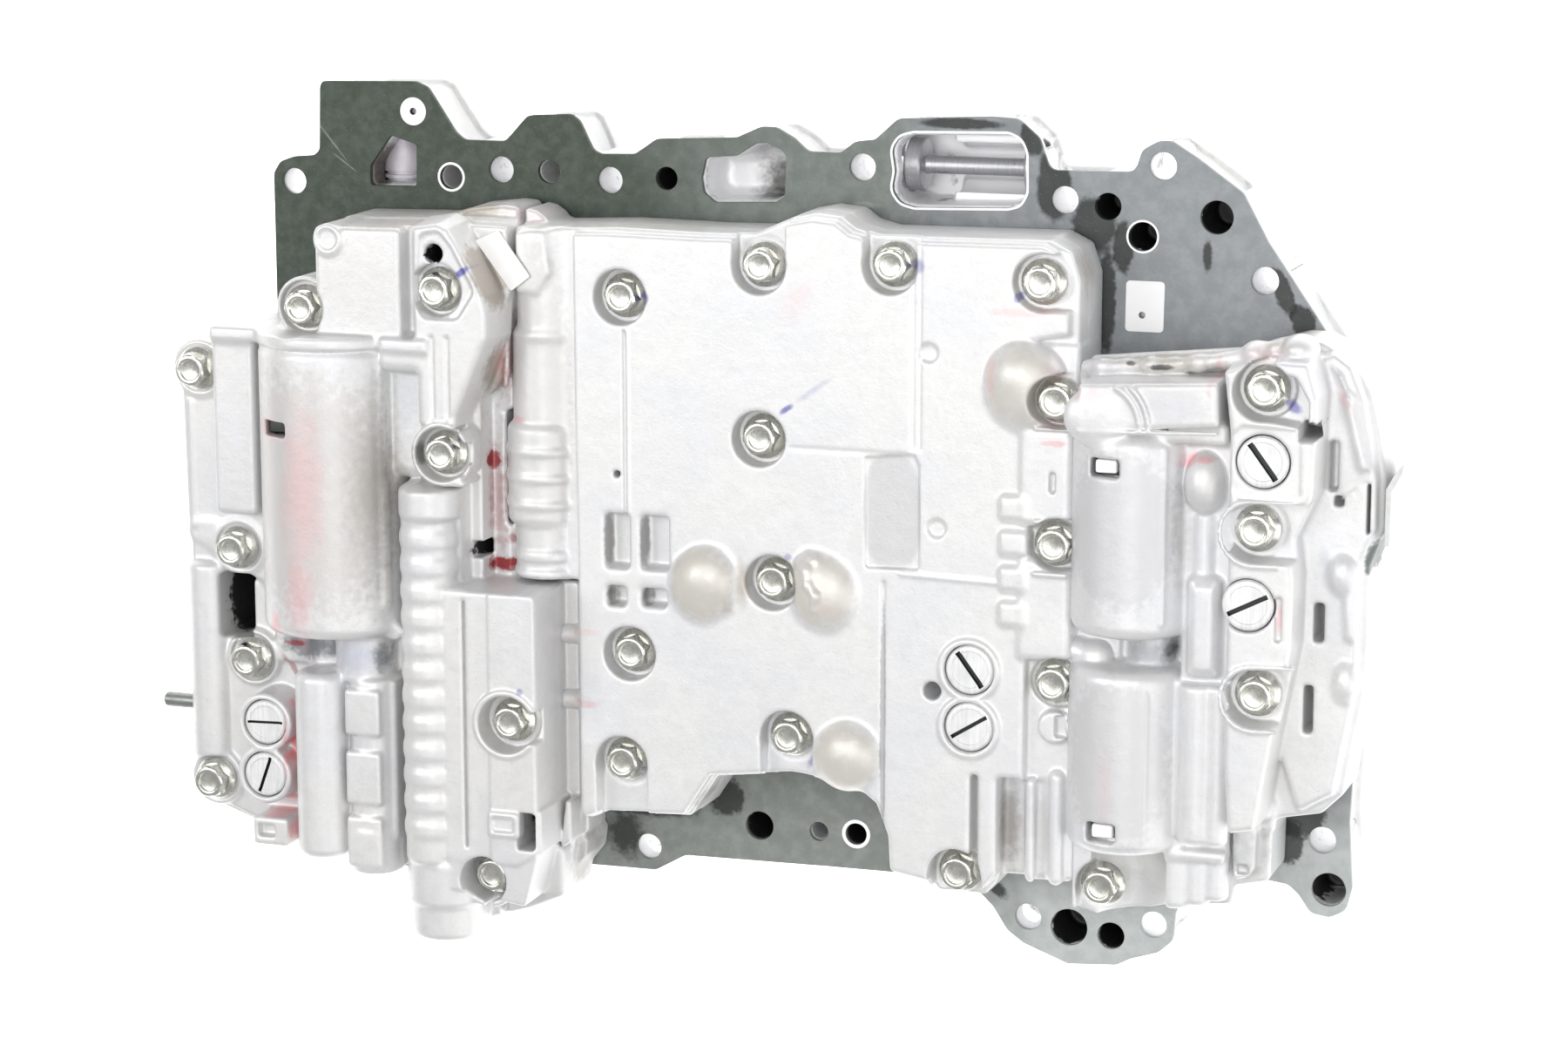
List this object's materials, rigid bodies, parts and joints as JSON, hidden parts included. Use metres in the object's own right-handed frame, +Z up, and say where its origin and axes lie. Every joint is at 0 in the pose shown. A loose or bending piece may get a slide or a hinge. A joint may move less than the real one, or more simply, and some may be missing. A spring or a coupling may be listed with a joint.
{
  "type": "transmission valve body",
  "caption": "Automatic transmission valve body: cast aluminium control bodies bolted together through a separator plate, with spring-loaded accumulators and sliding spool valves.",
  "frame": {"origin": "centre of the outline on the flat back face of the upper body, which the unit rests on", "axes": "+X along the long side, from the large accumulator towards the two small ones; +Y towards the edge with the plate windows; +Z up, out of the lower bodies' screw heads"},
  "size_m": [0.3366, 0.224, 0.069],
  "materials": {
    "cast_aluminium": "die-cast, fine grain",
    "cast_aluminium_upper": "die-cast, fine grain",
    "coated_plate": "steel plate with a bonded dark green gasket coating",
    "plated_steel": "zinc plated",
    "machined_aluminium": "turned",
    "anodised_valve": "hard anodised and ground",
    "spring_steel": "oiled wire",
    "white_paper": "blank adhesive paper",
    "dark_steel": "dark oiled steel"
  },
  "bodies": {
    "valve_body": {"upper_body": "cast_aluminium_upper", "separator_plate": "coated_plate", "lower_body_left": "cast_aluminium", "lower_body_centre": "cast_aluminium", "lower_body_right": "cast_aluminium", "blank_label": "white_paper", "side_stop_pin": "dark_steel", "side_bracket": "dark_steel", "flange_bolt_01": "plated_steel", "flange_bolt_02": "plated_steel", "flange_bolt_03": "plated_steel", "flange_bolt_04": "plated_steel", "flange_bolt_05": "plated_steel", "flange_bolt_06": "plated_steel", "flange_bolt_07": "plated_steel", "flange_bolt_08": "plated_steel", "flange_bolt_09": "plated_steel", "flange_bolt_10": "plated_steel", "flange_bolt_11": "plated_steel", "flange_bolt_12": "plated_steel", "flange_bolt_13": "plated_steel", "flange_bolt_14": "plated_steel", "flange_bolt_15": "plated_steel", "flange_bolt_16": "plated_steel", "flange_bolt_17": "plated_steel", "flange_bolt_18": "plated_steel", "flange_bolt_19": "plated_steel", "flange_bolt_20": "plated_steel", "flange_bolt_21": "plated_steel", "flange_bolt_22": "plated_steel", "flange_bolt_23": "plated_steel", "flange_bolt_24": "plated_steel", "flange_bolt_25": "plated_steel", "flange_bolt_26": "plated_steel", "slotted_plug_1": "machined_aluminium", "slotted_plug_2": "machined_aluminium", "slotted_plug_3": "machined_aluminium", "slotted_plug_4": "machined_aluminium", "slotted_plug_5": "machined_aluminium", "slotted_plug_6": "machined_aluminium", "long_spool_plug": "machined_aluminium", "short_spool_plug": "machined_aluminium", "centre_spool_plug": "machined_aluminium", "accumulator_plug_a": "machined_aluminium", "accumulator_spring_a": "spring_steel", "retaining_key_a": "dark_steel", "accumulator_plug_c": "machined_aluminium", "accumulator_spring_c": "spring_steel", "retaining_key_c": "dark_steel", "accumulator_plug_d": "machined_aluminium", "accumulator_spring_d": "spring_steel", "retaining_key_d": "dark_steel"},
    "accumulator_piston_a": {"accumulator_piston_a": "machined_aluminium"},
    "accumulator_piston_c": {"accumulator_piston_c": "machined_aluminium"},
    "accumulator_piston_d": {"accumulator_piston_d": "machined_aluminium"},
    "long_spool_valve": {"long_spool_valve": "anodised_valve"},
    "short_spool_valve": {"short_spool_valve": "anodised_valve"},
    "centre_spool_valve": {"centre_spool_valve": "anodised_valve"},
    "upper_spool_valve": {"upper_spool_valve": "anodised_valve"},
    "upper_plunger_valve": {"upper_plunger_valve": "anodised_valve"}
  },
  "joints": [
    {"name": "accumulator_a_slide", "type": "slide", "parent": "valve_body", "child": "accumulator_piston_a", "axis": [0, -1, 0], "range_m": [0, 0.012], "stiffness_N_per_m": 3000, "deforming": ["accumulator_spring_a"]},
    {"name": "accumulator_c_slide", "type": "slide", "parent": "valve_body", "child": "accumulator_piston_c", "axis": [0, -1, 0], "range_m": [0, 0.008], "stiffness_N_per_m": 3000, "deforming": ["accumulator_spring_c"]},
    {"name": "accumulator_d_slide", "type": "slide", "parent": "valve_body", "child": "accumulator_piston_d", "axis": [0, 1, 0], "range_m": [0, 0.008], "stiffness_N_per_m": 3000, "deforming": ["accumulator_spring_d"]},
    {"name": "long_spool_slide", "type": "slide", "parent": "valve_body", "child": "long_spool_valve", "axis": [0, 1, 0], "range_m": [-0.005, 0.005]},
    {"name": "short_spool_slide", "type": "slide", "parent": "valve_body", "child": "short_spool_valve", "axis": [0, 1, 0], "range_m": [-0.004, 0.004]},
    {"name": "centre_spool_slide", "type": "slide", "parent": "valve_body", "child": "centre_spool_valve", "axis": [0, 1, 0], "range_m": [-0.003, 0.004]},
    {"name": "upper_spool_slide", "type": "slide", "parent": "valve_body", "child": "upper_spool_valve", "axis": [1, 0, 0], "range_m": [-0.003, 0.001]},
    {"name": "upper_plunger_slide", "type": "slide", "parent": "valve_body", "child": "upper_plunger_valve", "axis": [0, 1, 0], "range_m": [-0.004, 0.004]}
  ]
}
